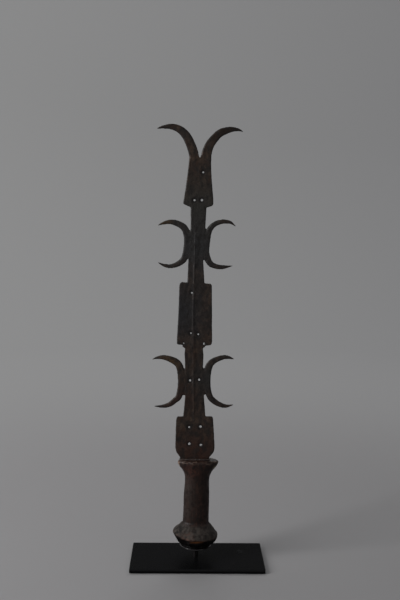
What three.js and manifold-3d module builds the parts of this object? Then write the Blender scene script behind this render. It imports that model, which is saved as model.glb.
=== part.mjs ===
// A knife currency on its display stand: one hammered iron blade with horns and crescents, a hilt
// carved from one piece of hardwood, and a black steel stand whose pin the knife is lifted off.
// Millimetres, +Z up. The blade lies in the XZ plane, so its broad face is seen along +Y.
import * as THREE from "three";
import { mergeVertices, toCreasedNormals } from "three/addons/utils/BufferGeometryUtils.js";
import Module from "manifold-3d";

const wasm = await Module();
wasm.setup();

// Driving dimensions of the stand
const felt = { thick: 0.8, inset: 2.5, screwHole: 7 };
const plate = { wide: 200, deep: 100, thick: 6, corner: 1.5, chamfer: 0.6 };
const stem = { across: -2.5, radius: 4, tall: 17.4, collarRadius: 9, collarTall: 5, collarEdge: 1 };
const disc = { radius: 24, thick: 2.5, rounding: 0.8, bore: 4.2 };
const pad = { radius: 19.8, thick: 1.2, bore: 3.5 };
const pin = { radius: 3, long: 44, point: 1 };
const screw = {
  radius: 2.5,
  headRadius: 5,
  headCone: 2.5,
  headRim: 0.5,
  long: 14,
  key: 1.5,
  keyDeep: 2,
  clear: 0.3,
};

// Driving dimensions of the knife. Heights on the hilt count up from the pommel's flat foot.
const hiltTall = 128.9;
const film = 0.02; // the thin layer of resin under the blade's base and the bead
const boreRadius = pin.radius + 0.1;
const boreDeep = 46;
const iron = { thick: 3, bevel: 0.7, armThick: 2.9, armBevel: 2, edge: 1, tipThick: 1.3, web: 2 };
const rib = { proud: 0.75, bevel: 1.15, edge: 2.6 };
const tang = { long: 72, mouthWide: 21.6, tipWide: 8, tipThick: 2.4, across: -5 };
const resin = {
  gap: 0.3,
  deep: 45,
  wall: 1.2,
  bead: { across: -5.3, tall: 1.8, round: 0.8, halfLong: 23, halfDeep: 4, slot: 41.4, slotFlare: 3.2, slotDeep: 0.4 },
};

// Heights of the stand's levels
const plateFoot = felt.thick;
const plateTop = plateFoot + plate.thick;
const discFoot = plateTop + stem.tall;
const padFoot = discFoot + disc.thick;
const pommelFoot = padFoot + pad.thick;

// Hilt rings, from the pommel's foot to the guard's top:
// [height, left edge, right edge, half its depth, how far its left side stands above its right]
const pommelRings = [
  [0, -22.9, 18.1, 20.5, 0],
  [0.8, -25.6, 20.9, 23.2, 0.2],
  [3.2, -29.2, 25.2, 27.3, 0.8],
  [8.4, -33.3, 29.2, 31.1, 2.6],
  [14.4, -36.6, 31, 33.9, 4.6],
  [16.6, -36.9, 30.7, 33.9, 6.8],
  [19.6, -33.5, 28, 31.2, 6],
  [25.9, -27.5, 22.8, 23.2, 3.2],
  [32.6, -22.3, 17.8, 14.3, 1.6],
];
const gripRings = [
  [34.8, -21.9, 17.3, 13.6, 1],
  [47.4, -21.5, 17.2, 13.5, 0],
  [63.4, -21.2, 17.2, 13.5, 0],
  [78.4, -20.9, 17.4, 13.6, 0],
  [90.4, -19.9, 17, 13.4, 0],
  [97.4, -19.5, 16.9, 13.3, 0],
];
const guardRings = [
  [103.9, -19.6, 17.7, 13.4, 0],
  [108.9, -21, 19.7, 13.6, 0],
  [113.4, -23.3, 22.2, 13.9, 0],
  [118.4, -26.9, 26.4, 14.3, 0],
  [121.7, -29.3, 29.2, 14.6, 0],
  [124.4, -30.2, 30.3, 14.8, -0.5],
  [126.8, -30.4, 30, 14.6, -1],
  [hiltTall, -27.8, 27.2, 12.8, 0],
];

// Heights on the blade count up from its base, which stands on the guard.
// Shaft edges: [height, left, right]
const shaftEdges = [
  [40, -23.2, 10.2],
  [68, -22.8, 10.1],
  [97, -20.3, 7.8],
  [142, -20.9, 5.8],
  [160, -21.9, 6.5],
  [172, -21.2, 4.8],
  [268, -18.6, 6.4],
  [298, -17.5, 4.5],
  [346, -14.4, 6.9],
  [385, -15, 8.6],
];

// Middle lines of the horns and crescents: [across, height, width]. A crescent runs from its upper
// tip round its back, which is welded into the shaft, to its lower tip.
const horns = {
  left: [
    [-9.9, 430, 15.6],
    [-10.4, 449, 14.8],
    [-14.4, 464.2, 14],
    [-22.4, 479.6, 12.8],
    [-31.6, 488.2, 11],
    [-43, 492.1, 8.8],
    [-55.5, 491.4, 5],
    [-64.5, 489, 1],
  ],
  right: [
    [6.6, 430, 15.2],
    [6.7, 449, 15.4],
    [10.7, 464.2, 13.8],
    [18.5, 475.8, 12.6],
    [27.4, 483.8, 11],
    [42, 488.5, 7.6],
    [52, 488.9, 4.8],
    [59.6, 486.2, 1],
  ],
};
const crescents = {
  upperLeft: [
    [-62.2, 350.3, 1],
    [-53.5, 353.8, 4.8],
    [-42.4, 355.4, 7.6],
    [-28.6, 350.8, 9.7],
    [-21, 341.9, 10.8],
    [-18.4, 325, 12],
    [-22.4, 304.6, 10.1],
    [-29.6, 296, 8.7],
    [-41.4, 291.1, 6.8],
    [-52, 291.8, 5],
    [-62, 296.3, 1],
  ],
  upperRight: [
    [51.2, 350.1, 1],
    [43, 355.6, 4.8],
    [32, 356.6, 7],
    [21.2, 353.2, 7.6],
    [13, 344.6, 9],
    [8.4, 328, 12],
    [7.8, 310.4, 11.2],
    [14.1, 296.1, 9.3],
    [22.6, 291.4, 7.7],
    [33, 290.2, 6.4],
    [47.8, 292.3, 1],
  ],
  lowerLeft: [
    [-69.6, 152.4, 1],
    [-60.5, 155.1, 5],
    [-50.6, 155.1, 7.8],
    [-36.2, 149.8, 10.6],
    [-28.5, 140.6, 11.2],
    [-25.2, 119, 12.4],
    [-29.4, 97.4, 9.9],
    [-35.6, 90.4, 8.6],
    [-43.8, 84.1, 7.5],
    [-54.4, 81.4, 5],
    [-66.5, 81.6, 1],
  ],
  lowerRight: [
    [51.8, 153.4, 1],
    [44.2, 156.1, 5],
    [35, 156.1, 7],
    [21.8, 150.6, 9.4],
    [14.3, 141.4, 11.1],
    [11.2, 118, 12.2],
    [16, 98, 9.4],
    [22.4, 90.2, 9.2],
    [31, 85, 7.6],
    [40.6, 82.4, 5.8],
    [51.3, 84.5, 1],
  ],
};

// Webs left by the welding close the narrow end of three forks: [left, right, low, high]
const webs = [
  [-23, -19.8, 98.8, 106],
  [5.8, 8.6, 133, 139.4],
  [7, 9, 99.6, 105],
];

// The horns were split apart with a chisel, whose cut narrows to the fork's foot
const split = { across: -2.15, foot: 446.4, top: 455, wide: 4.5 };

// The raised rib runs down the middle of both faces: [across, height, width, height above a face]
const ribLine = [
  [-7.3, 358, 2, -0.4],
  [-7.5, 338, 3.2, rib.proud],
  [-8.8, 268, 3.4, rib.proud],
  [-9.6, 215, 3.4, rib.proud],
  [-8.5, 166, 3.4, rib.proud],
  [-7.8, 90, 3.2, rib.proud],
  [-7.1, 56, 2.6, 0.3],
  [-6.9, 40, 2, -0.4],
];

// Punched holes: [across, height, width, height of the hole, lean in degrees]
const holes = [
  [2.9, 427.5, 3.2, 3.2, 0],
  [-9.4, 387.2, 3.2, 2.9, 0],
  [1.5, 387.4, 3.6, 3.5, 0],
  [-11.8, 252, 2.8, 2.8, 0],
  [-12.6, 192.1, 2.7, 2.7, 0],
  [-1.7, 190.6, 2.7, 2.6, 0],
  [-13.1, 121, 2.8, 3.7, 0],
  [0.3, 122.3, 2.8, 3.9, 0],
  [-13.9, 50, 2.7, 3.4, 0],
  [3.1, 50.9, 4, 3.6, 0],
  [-13.5, 24.4, 3.4, 4.2, 35],
  [3.9, 23.1, 4.4, 3.2, -10],
  [-23.1, 176.8, 1.9, 2.4, 0],
  [6.6, 176.5, 2.2, 4.4, 0],
];

// Finishes
const finishes = {
  iron: new THREE.MeshStandardMaterial({ color: 0x2e2926, roughness: 0.6, metalness: 0.7 }),
  wood: new THREE.MeshStandardMaterial({ color: 0x3b2a22, roughness: 0.55, metalness: 0 }),
  resin: new THREE.MeshStandardMaterial({ color: 0x241812, roughness: 0.4, metalness: 0 }),
  blackSteel: new THREE.MeshStandardMaterial({ color: 0x151517, roughness: 0.35, metalness: 0.2 }),
  zincSteel: new THREE.MeshStandardMaterial({ color: 0x8d8f91, roughness: 0.35, metalness: 1 }),
  felt: new THREE.MeshStandardMaterial({ color: 0x0d0d0e, roughness: 1, metalness: 0 }),
};

const ROUND = 40; // sides of the turned pieces
const OVAL = 48; // sides of a hilt ring and of the resin's bead
const PUNCHED = 14; // sides of a punched hole
const ARM_STEPS = 4; // rings from one row of a horn or crescent to the next
const RIB_STEPS = 3; // rings from one row of the rib to the next
const FULL_WIDTH = 0.67; // share of an arm's greatest width from which it has its full thickness
const LEAST_FLAT = 0.35; // least share of an arm's width that stays flat between its bevels
const MOST_RIM = 0.6; // greatest share of an arm's thickness that its edge takes
const CREASE = THREE.MathUtils.degToRad(28);
const WELD = 1e-4;

// A closed three.js geometry as a solid that can be joined and cut.
function solidOf(geometry) {
  const bare = geometry.clone();
  bare.deleteAttribute("normal");
  bare.deleteAttribute("uv");
  const merged = mergeVertices(bare, WELD);
  const vertProperties = merged.attributes.position.array;
  const triVerts = new Uint32Array(merged.index.array);
  return new wasm.Manifold(new wasm.Mesh({ numProp: 3, vertProperties, triVerts }));
}

// A solid as a geometry again, with sharp edges kept sharp and curves smooth.
function geometryOf(solid) {
  const mesh = solid.getMesh();
  const geometry = new THREE.BufferGeometry();
  geometry.setAttribute("position", new THREE.BufferAttribute(mesh.vertProperties, 3));
  geometry.setIndex(new THREE.BufferAttribute(mesh.triVerts, 1));
  return toCreasedNormals(geometry, CREASE);
}

// A named piece in its finish.
function piece(name, geometry, finish) {
  const mesh = new THREE.Mesh(geometry, finish);
  mesh.name = name;
  return mesh;
}

// A closed skin over rings that all have the same number of points, with both ends closed flat.
function skin(rings) {
  const sides = rings[0].length;
  const positions = rings.flat().flatMap((point) => point.toArray());
  const faces = [];
  for (let ring = 0; ring < rings.length - 1; ring++) {
    for (let side = 0; side < sides; side++) {
      const here = ring * sides + side;
      const next = ring * sides + ((side + 1) % sides);
      faces.push(here, next, next + sides, here, next + sides, here + sides);
    }
  }
  const last = (rings.length - 1) * sides;
  for (let side = 1; side < sides - 1; side++) {
    faces.push(0, side + 1, side, last, last + side, last + side + 1);
  }
  const geometry = new THREE.BufferGeometry();
  geometry.setAttribute("position", new THREE.Float32BufferAttribute(positions, 3));
  geometry.setIndex(faces);
  return geometry;
}

// A smooth run through the numbers of each row, cut into the same steps for every number.
function smoothRows(rows, stepsPerRow) {
  const columns = rows[0].map((_, column) => rows.map((row) => row[column]));
  const steps = (rows.length - 1) * stepsPerRow;
  const along = columns.map((values) => {
    const points = values.map((value, i) => new THREE.Vector2(i, value));
    return new THREE.SplineCurve(points);
  });
  return Array.from({ length: steps + 1 }, (_, i) => along.map((curve) => curve.getPoint(i / steps).y));
}

// A hammered arm: a flat eight-sided section drawn along a middle line in the blade's plane, with
// bevelled sides and narrow edges. Rows are [across, height, width, thickness].
function hammeredArm(rows, stepsPerRow, bevel, edge) {
  const stations = smoothRows(rows, stepsPerRow);
  const middles = stations.map(([across, up]) => new THREE.Vector2(across, up));
  const rings = stations.map(([, , wide, thick], i) => {
    const before = middles[Math.max(i - 1, 0)];
    const after = middles[Math.min(i + 1, middles.length - 1)];
    const ahead = after.clone().sub(before).normalize();
    const half = wide / 2;
    const face = thick / 2;
    const rim = Math.min(edge / 2, MOST_RIM * face);
    const flat = Math.max(half - bevel, LEAST_FLAT * half);
    const section = [[half, -rim], [half, rim], [flat, face], [-flat, face],
      [-half, rim], [-half, -rim], [-flat, -face], [flat, -face]];
    return section.map(([aside, out]) => new THREE.Vector3(
      middles[i].x + ahead.y * aside,
      out,
      middles[i].y - ahead.x * aside,
    ));
  });
  return solidOf(skin(rings));
}

// A hammered flat: an outline in the blade's plane, with bevelled edges.
function hammeredFlat(outline) {
  const depth = iron.thick - 2 * iron.bevel;
  const geometry = new THREE.ExtrudeGeometry(outline, {
    depth,
    bevelThickness: iron.bevel,
    bevelSize: iron.bevel,
    bevelOffset: -iron.bevel,
    bevelSegments: 1,
    curveSegments: 10,
  });
  geometry.rotateX(Math.PI / 2);
  geometry.translate(0, depth / 2, 0);
  return solidOf(geometry);
}

// The iron thins towards a tip: adds the thickness to rows of [across, height, width].
function thinTowardsTips(rows) {
  const widest = Math.max(...rows.map(([, , wide]) => wide));
  return rows.map(([across, up, wide]) => {
    const share = Math.min(1, wide / (FULL_WIDTH * widest));
    return [across, up, wide, THREE.MathUtils.lerp(iron.tipThick, iron.armThick, share)];
  });
}

// A tapered bar of rectangular section. Levels are [height, middle, width, thickness].
function taperedBar(levels) {
  const rings = levels.map(([up, middle, wide, thick]) => {
    const x = wide / 2;
    const y = thick / 2;
    return [[-x, -y], [x, -y], [x, y], [-x, y]].map(([dx, dy]) => new THREE.Vector3(middle + dx, dy, up));
  });
  return solidOf(skin(rings));
}

// The tang's bar, or the same bar grown by a gap on every side, down to a depth below the blade's base.
function tangBar(depth, grow, above) {
  const share = depth / tang.long;
  const wide = THREE.MathUtils.lerp(tang.mouthWide, tang.tipWide, share);
  const thick = THREE.MathUtils.lerp(iron.thick, tang.tipThick, share);
  return taperedBar([
    [-depth, tang.across, wide + 2 * grow, thick + 2 * grow],
    [above, tang.across, tang.mouthWide + 2 * grow, iron.thick + 2 * grow],
  ]);
}

function topPlateOutline() {
  const outline = new THREE.Shape();
  outline.moveTo(-15, 377);
  outline.lineTo(-24.2, 380.8);
  outline.quadraticCurveTo(-26.2, 381.6, -25.7, 384.5);
  outline.quadraticCurveTo(-19.6, 420, -17.7, 447);
  outline.lineTo(-3.6, 452);
  outline.lineTo(-0.9, 452);
  outline.lineTo(14.4, 447);
  outline.quadraticCurveTo(13.8, 428, 17.9, 392);
  outline.lineTo(18.1, 383.6);
  outline.quadraticCurveTo(18.2, 379.8, 15.4, 378.8);
  outline.lineTo(8.4, 376.6);
  return outline;
}

function middlePlateOutline() {
  const outline = new THREE.Shape();
  outline.moveTo(-24.9, 174.4);
  outline.lineTo(-31.4, 174.7);
  outline.quadraticCurveTo(-33.4, 175, -33.4, 178);
  outline.lineTo(-33.2, 186);
  outline.quadraticCurveTo(-30.8, 226, -30.6, 261);
  outline.quadraticCurveTo(-30.2, 267.2, -26, 267.8);
  outline.lineTo(-14, 266.8);
  outline.lineTo(6.3, 266.2);
  outline.lineTo(14.6, 265.8);
  outline.quadraticCurveTo(17.6, 265, 17.6, 260.6);
  outline.lineTo(18.9, 181);
  outline.quadraticCurveTo(19, 174.9, 15.6, 174.1);
  outline.lineTo(8.6, 173.4);
  outline.lineTo(8.6, 171.6);
  outline.lineTo(4.6, 169.2);
  outline.lineTo(-21.2, 169.2);
  outline.lineTo(-24.9, 171.6);
  return outline;
}

function lowerPlateOutline() {
  const outline = new THREE.Shape();
  outline.moveTo(-25.4, 0);
  outline.lineTo(-27.8, 4.7);
  outline.lineTo(-31.8, 10.4);
  outline.quadraticCurveTo(-34.2, 14, -34.3, 22);
  outline.quadraticCurveTo(-34.2, 44, -33.4, 60);
  outline.quadraticCurveTo(-33.1, 66.2, -30, 66.3);
  outline.lineTo(18.4, 66.9);
  outline.quadraticCurveTo(21.6, 66.8, 21.8, 62);
  outline.quadraticCurveTo(23.7, 38, 24.5, 20);
  outline.quadraticCurveTo(24.5, 13.6, 22, 10.4);
  outline.lineTo(17.6, 4.8);
  outline.lineTo(14.8, 0);
  return outline;
}

function shaftOutline() {
  const left = shaftEdges.map(([up, edge]) => new THREE.Vector2(edge, up));
  const right = shaftEdges.map(([up, , edge]) => new THREE.Vector2(edge, up));
  return new THREE.Shape([...left, ...right.reverse()]);
}

// The chisel's cut between the horns, as a wedge to take out of the blade.
function splitCut() {
  const { across, foot, top, wide } = split;
  const outline = new THREE.Shape();
  outline.moveTo(across, foot);
  outline.lineTo(across + wide / 2, top);
  outline.lineTo(across - wide / 2, top);
  const geometry = new THREE.ExtrudeGeometry(outline, { depth: 3 * iron.thick, bevelEnabled: false });
  geometry.rotateX(Math.PI / 2);
  geometry.translate(0, 1.5 * iron.thick, 0);
  return solidOf(geometry);
}

// The blade: horns, plates, shaft and crescents hammered and welded into one iron, then punched.
function makeBlade() {
  let blade = hammeredFlat(shaftOutline());
  for (const outline of [topPlateOutline(), middlePlateOutline(), lowerPlateOutline()]) {
    blade = blade.add(hammeredFlat(outline));
  }
  for (const rows of [...Object.values(horns), ...Object.values(crescents)]) {
    blade = blade.add(hammeredArm(thinTowardsTips(rows), ARM_STEPS, iron.armBevel, iron.edge));
  }
  for (const [left, right, low, high] of webs) {
    const web = new THREE.BoxGeometry(right - left, iron.web, high - low);
    web.translate((left + right) / 2, 0, (low + high) / 2);
    blade = blade.add(solidOf(web));
  }
  const ribRows = ribLine.map(([across, up, wide, proud]) => [across, up, wide, iron.thick + 2 * proud]);
  blade = blade.add(hammeredArm(ribRows, RIB_STEPS, rib.bevel, rib.edge));
  blade = blade.add(tangBar(tang.long, 0, 2));
  blade = blade.subtract(splitCut());
  for (const [across, up, wide, tall, lean] of holes) {
    const punch = new THREE.CylinderGeometry(0.5, 0.5, 3 * iron.thick, PUNCHED);
    punch.scale(wide, 1, tall);
    punch.rotateY(THREE.MathUtils.degToRad(lean));
    punch.translate(across, 0, up);
    blade = blade.subtract(solidOf(punch));
  }
  return geometryOf(blade);
}

// One ring of the resin's bead: a blunt oval, a little uneven, drawn in by an inset.
function beadRing([up, inset]) {
  const { across, halfLong, halfDeep } = resin.bead;
  const blunt = (share) => Math.sign(share) * Math.sqrt(Math.abs(share));
  return Array.from({ length: OVAL }, (_, i) => {
    const turn = (i / OVAL) * 2 * Math.PI;
    const swell = 1 + 0.05 * Math.sin(5 * turn + 1) + 0.04 * Math.sin(9 * turn);
    return new THREE.Vector3(
      across + blunt(Math.cos(turn)) * (halfLong - inset),
      blunt(Math.sin(turn)) * (halfDeep * swell - inset),
      up,
    );
  });
}

// The resin that beds the tang: a sleeve in the socket, and an uneven bead round the blade's base.
function makeResin() {
  const { gap, deep, wall, bead } = resin;
  const { tall, round, slot, slotFlare, slotDeep } = bead;
  const rows = [[0, 0], [tall - round, 0], [tall - 0.3 * round, 0.3 * round], [tall, round]];
  const bladeRoom = taperedBar([
    [-slotDeep, bead.across, slot, iron.thick + 3 * gap],
    [tall + 1, bead.across, slot + slotFlare, iron.thick + 3 * gap],
  ]);
  const sleeve = tangBar(deep, gap + wall, tall / 2);
  const tangRoom = tangBar(tang.long, gap, tall / 2);
  const bed = solidOf(skin(rows.map(beadRing))).add(sleeve);
  return geometryOf(bed.subtract(bladeRoom).subtract(tangRoom));
}

// One ring of the hilt, oval in plan and tilted sideways.
function hiltRing([up, left, right, halfDepth, rise]) {
  const middle = (left + right) / 2;
  const halfWidth = (right - left) / 2;
  return Array.from({ length: OVAL }, (_, i) => {
    const turn = (i / OVAL) * 2 * Math.PI;
    const aside = Math.cos(turn);
    return new THREE.Vector3(
      middle + halfWidth * aside,
      halfDepth * Math.sin(turn),
      up - (rise / 2) * aside,
    );
  });
}

// The hilt: pommel, grip and guard carved in one piece, with the tang's socket and the pin's bore.
function makeHilt() {
  const rows = [
    ...smoothRows(pommelRings, 1),
    ...smoothRows(gripRings, 2),
    ...smoothRows(guardRings, 2),
  ];
  const body = solidOf(skin(rows.map(hiltRing)));
  const bore = new THREE.CylinderGeometry(boreRadius, boreRadius, 2 * boreDeep, ROUND);
  bore.rotateX(Math.PI / 2);
  bore.translate(stem.across, 0, 0);
  const socket = tangBar(tang.long + 2, 2 * resin.gap + resin.wall, 1).translate(0, 0, hiltTall);
  return geometryOf(body.subtract(solidOf(bore)).subtract(socket));
}

// A turned solid. Its profile is [radius, height] pairs, from the axis back to the axis or closed on itself.
function turned(profile) {
  const points = profile.map(([radius, up]) => new THREE.Vector2(radius, up));
  const geometry = new THREE.LatheGeometry(points, ROUND);
  geometry.rotateX(Math.PI / 2);
  return solidOf(geometry);
}

function makeDisc() {
  const { radius, thick, rounding, bore } = disc;
  const solid = turned([
    [bore, 0],
    [radius - rounding, 0],
    [radius, rounding],
    [radius, thick - rounding],
    [radius - rounding, thick],
    [bore, thick],
    [bore, 0],
  ]);
  return geometryOf(solid);
}

function makePad() {
  const solid = turned([
    [pad.bore, 0],
    [pad.radius, 0],
    [pad.radius, pad.thick],
    [pad.bore, pad.thick],
    [pad.bore, 0],
  ]);
  return geometryOf(solid);
}

// The stem: tapped from below for the base screw, with a collar under the disc and the long pin above it.
function makeStem() {
  const thread = screw.radius + screw.clear;
  const threadTop = screw.long - plate.thick + 1;
  const discTop = stem.tall + disc.thick;
  const pinTop = discTop + pin.long;
  const solid = turned([
    [0, threadTop + 1],
    [thread, threadTop],
    [thread, 0],
    [stem.radius, 0],
    [stem.radius, stem.tall - stem.collarTall],
    [stem.collarRadius, stem.tall - stem.collarEdge],
    [stem.collarRadius, stem.tall],
    [stem.radius, stem.tall],
    [stem.radius, discTop],
    [pin.radius, discTop],
    [pin.radius, pinTop - pin.point],
    [pin.radius - pin.point, pinTop],
    [0, pinTop],
  ]);
  return geometryOf(solid);
}

// The countersunk screw that holds the stem from under the plate.
function makeScrew() {
  const { radius, headRadius, headCone, headRim, long, key, keyDeep } = screw;
  const body = turned([
    [0, 0],
    [headRadius, 0],
    [headRadius, headRim],
    [radius, headRim + headCone],
    [radius, long],
    [0, long],
  ]);
  const socket = new THREE.CylinderGeometry(key, key, 2 * keyDeep, 6);
  socket.rotateX(Math.PI / 2);
  return geometryOf(body.subtract(solidOf(socket)));
}

// A flat rectangle with rounded corners, centred on the origin.
function rectangle(wide, deep, corner) {
  const outline = new THREE.Shape();
  const x = wide / 2 - corner;
  const y = deep / 2 - corner;
  outline.absarc(x, -y, corner, -Math.PI / 2, 0);
  outline.absarc(x, y, corner, 0, Math.PI / 2);
  outline.absarc(-x, y, corner, Math.PI / 2, Math.PI);
  outline.absarc(-x, -y, corner, Math.PI, 1.5 * Math.PI);
  return outline;
}

// The base plate: chamfered all round, with a countersunk hole from below for the screw.
function makePlate() {
  const { wide, deep, thick, corner, chamfer } = plate;
  const slab = new THREE.ExtrudeGeometry(rectangle(wide, deep, corner), {
    depth: thick - 2 * chamfer,
    bevelThickness: chamfer,
    bevelSize: chamfer,
    bevelOffset: -chamfer,
    bevelSegments: 1,
    curveSegments: 3,
  });
  slab.translate(0, 0, chamfer);
  const { clear, radius, headRadius, headCone, headRim } = screw;
  const hole = turned([
    [0, -1],
    [headRadius + clear, -1],
    [headRadius + clear, headRim + clear],
    [radius + clear, headRim + headCone + clear],
    [radius + clear, thick + 1],
    [0, thick + 1],
  ]);
  return geometryOf(solidOf(slab).subtract(hole.translate(stem.across, 0, 0)));
}

// The felt under the plate, cut away round the screw's head.
function makeFelt() {
  const outline = rectangle(plate.wide - 2 * felt.inset, plate.deep - 2 * felt.inset, 3);
  const hole = new THREE.Path();
  hole.absarc(stem.across, 0, felt.screwHole, 0, 2 * Math.PI, true);
  outline.holes.push(hole);
  const sheet = new THREE.ExtrudeGeometry(outline, { depth: felt.thick, bevelEnabled: false, curveSegments: 8 });
  return geometryOf(solidOf(sheet));
}

const stand = new THREE.Group();
const baseFelt = piece("base_felt", makeFelt(), finishes.felt);
const basePlate = piece("base_plate", makePlate(), finishes.blackSteel);
basePlate.position.z = plateFoot;
const baseScrew = piece("base_screw", makeScrew(), finishes.zincSteel);
baseScrew.position.set(stem.across, 0, plateFoot);
const standStem = piece("stem", makeStem(), finishes.blackSteel);
standStem.position.set(stem.across, 0, plateTop);
const seatDisc = piece("seat_disc", makeDisc(), finishes.blackSteel);
seatDisc.position.set(stem.across, 0, discFoot);
stand.add(baseFelt, basePlate, baseScrew, standStem, seatDisc);

const seatPad = piece("seat_pad", makePad(), finishes.felt);
seatPad.position.set(stem.across, 0, padFoot);

const knife = new THREE.Group();
knife.position.z = pommelFoot;
const hilt = piece("hilt", makeHilt(), finishes.wood);
const blade = piece("blade", makeBlade(), finishes.iron);
blade.position.z = hiltTall + film;
const tangResin = piece("tang_resin", makeResin(), finishes.resin);
tangResin.position.z = hiltTall + film;
knife.add(hilt, blade, tangResin);

const knifeOnStand = new THREE.Group();
knifeOnStand.add(stand, seatPad, knife);

export default knifeOnStand;
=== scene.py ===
# %% [markdown]
# # A knife currency on its display stand
#
# The object is one forged iron, drawn out into horns, crescents and plates, and set with resin into a
# hilt carved from one piece of hardwood. It stands on the pin of a black steel display stand.
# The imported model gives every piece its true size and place. This file gives the pieces their
# surfaces: hammer marks, scale and rust on the iron, tool marks, grain and wear on the wood.
# Lengths are in metres, and MM turns millimetres into them.

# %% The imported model
import math

import bpy
import numpy as np
from mathutils import Matrix, Vector, noise


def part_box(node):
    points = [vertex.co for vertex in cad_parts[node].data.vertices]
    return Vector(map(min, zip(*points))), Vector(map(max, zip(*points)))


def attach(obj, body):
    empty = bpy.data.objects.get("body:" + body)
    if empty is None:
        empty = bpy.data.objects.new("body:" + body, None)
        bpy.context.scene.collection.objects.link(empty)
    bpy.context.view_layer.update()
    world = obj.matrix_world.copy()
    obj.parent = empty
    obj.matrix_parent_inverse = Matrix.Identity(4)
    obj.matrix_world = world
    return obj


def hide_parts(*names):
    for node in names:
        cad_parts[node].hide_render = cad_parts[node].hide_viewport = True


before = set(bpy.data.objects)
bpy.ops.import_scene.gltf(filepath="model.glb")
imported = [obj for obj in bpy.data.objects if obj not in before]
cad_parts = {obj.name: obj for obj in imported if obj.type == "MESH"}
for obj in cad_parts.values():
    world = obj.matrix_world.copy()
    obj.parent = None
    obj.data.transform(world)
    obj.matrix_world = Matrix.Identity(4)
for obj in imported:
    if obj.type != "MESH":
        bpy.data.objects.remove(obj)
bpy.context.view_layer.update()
MM = 0.001

# %% [markdown]
# ## Camera
#
# The knife was photographed from 1.2 m away, from a little above its middle. The stand's four corners
# in the picture give the camera's place, its tilt and its small roll. A constraint could aim the camera
# at the knife, but it would lose the roll, so the place and the three turns are written as numbers.
# A camera at rest looks straight down, and a quarter turn brings it level. Blender's sensor width is
# the longer side of the frame, which is the height here.

# %% Camera
CAMERA_PLACE = Vector((-17.9, -1223.9, 528.8)) * MM
CAMERA_TURN_RIGHT = math.radians(0.85)
CAMERA_TILT_DOWN = math.radians(6.09)
CAMERA_ROLL = math.radians(0.63)
LEVEL = math.radians(90)
LENS_LENGTH = 50.16
FRAME_TALL = 36

camera_data = bpy.data.cameras.new("camera")
camera_data.lens = LENS_LENGTH
camera_data.sensor_width = FRAME_TALL
camera = bpy.data.objects.new("camera", camera_data)
bpy.context.scene.collection.objects.link(camera)
camera.matrix_world = (
    Matrix.Translation(CAMERA_PLACE)
    @ Matrix.Rotation(-CAMERA_TURN_RIGHT, 4, "Z")
    @ Matrix.Rotation(LEVEL - CAMERA_TILT_DOWN, 4, "X")
    @ Matrix.Rotation(CAMERA_ROLL, 4, "Z")
)
bpy.context.scene.camera = camera
bpy.context.scene.view_settings.view_transform = "Standard"
print("camera", tuple(round(c, 3) for c in camera.location))

# %% [markdown]
# ## Colours and nodes
#
# Colours are written as sRGB hex values, as a colour picker shows them. The shaders work in linear
# light, so one function turns them. A material is a small graph, and one more function adds a node
# to it with its settings and its links, which keeps each graph short enough to read.


# %% Helpers for materials
def colour(hex_text):
    """An sRGB hex colour as linear red, green, blue and alpha."""
    parts = [int(hex_text[i : i + 2], 16) / 255 for i in (1, 3, 5)]
    linear = [c / 12.92 if c <= 0.04045 else ((c + 0.055) / 1.055) ** 2.4 for c in parts]
    return (*linear, 1.0)


def add(tree, kind, sockets=None, **settings):
    """Adds a node. Settings are its properties; sockets are its inputs, each a value or an output."""
    node = tree.nodes.new(kind)
    for name, value in settings.items():
        setattr(node, name, value)
    for name, value in (sockets or {}).items():
        if isinstance(value, bpy.types.NodeSocket):
            tree.links.new(value, node.inputs[name])
        else:
            node.inputs[name].default_value = value
    return node


def start_material(name):
    """A new material, its tree, and the object's own coordinates in metres."""
    material = bpy.data.materials.new(name)
    material.use_nodes = True
    tree = material.node_tree
    tree.nodes.clear()
    place = add(tree, "ShaderNodeTexCoord").outputs["Object"]
    return material, tree, place


def finish_material(tree, sockets):
    """Ends a tree in one Principled surface with these sockets."""
    shader = add(tree, "ShaderNodeBsdfPrincipled", sockets)
    add(tree, "ShaderNodeOutputMaterial", {"Surface": shader.outputs["BSDF"]})


# %% [markdown]
# ## Masks and coats
#
# An old surface is many thin coats, one over the other, and each lies only in places. A mask says
# where: from 0, nowhere, to 1, fully. Painted images could serve as masks, but noise needs no image,
# covers every side, and takes its scale from a size in millimetres. So there are two masks, patches of
# noise and the surroundings of one point, and one function that lays a colour over what is there.


# %% Masks and coats
def patches(tree, place, size, low=0.35, high=0.65, detail=4.0, stretch=(1, 1, 1)):
    """A mask of noise with patches about size metres across, cut between low and high."""
    stretched = add(tree, "ShaderNodeMapping", {"Vector": place, "Scale": stretch}).outputs[0]
    cloud = add(tree, "ShaderNodeTexNoise", {"Vector": stretched, "Scale": 1 / size, "Detail": detail})
    ends = {"Value": cloud.outputs[0], "From Min": low, "From Max": high}
    return add(tree, "ShaderNodeMapRange", ends, interpolation_type="SMOOTHSTEP").outputs[0]


def near(tree, place, centre, radius):
    """A mask that is 1 at centre and falls to 0 at radius metres."""
    away = add(tree, "ShaderNodeVectorMath", {0: place, 1: centre}, operation="DISTANCE").outputs["Value"]
    ends = {"Value": away, "From Min": radius, "From Max": 0.0}
    return add(tree, "ShaderNodeMapRange", ends, interpolation_type="SMOOTHSTEP").outputs[0]


def lay_over(tree, under, mask, share, hue):
    """The colour under with hue laid over it by the mask, and no more densely than share."""
    dense = add(tree, "ShaderNodeMath", {0: mask, 1: share}, operation="MULTIPLY").outputs[0]
    mixed = add(tree, "ShaderNodeMix", {0: dense, 6: under, 7: colour(hue)}, data_type="RGBA")
    return mixed.outputs[2]


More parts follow.
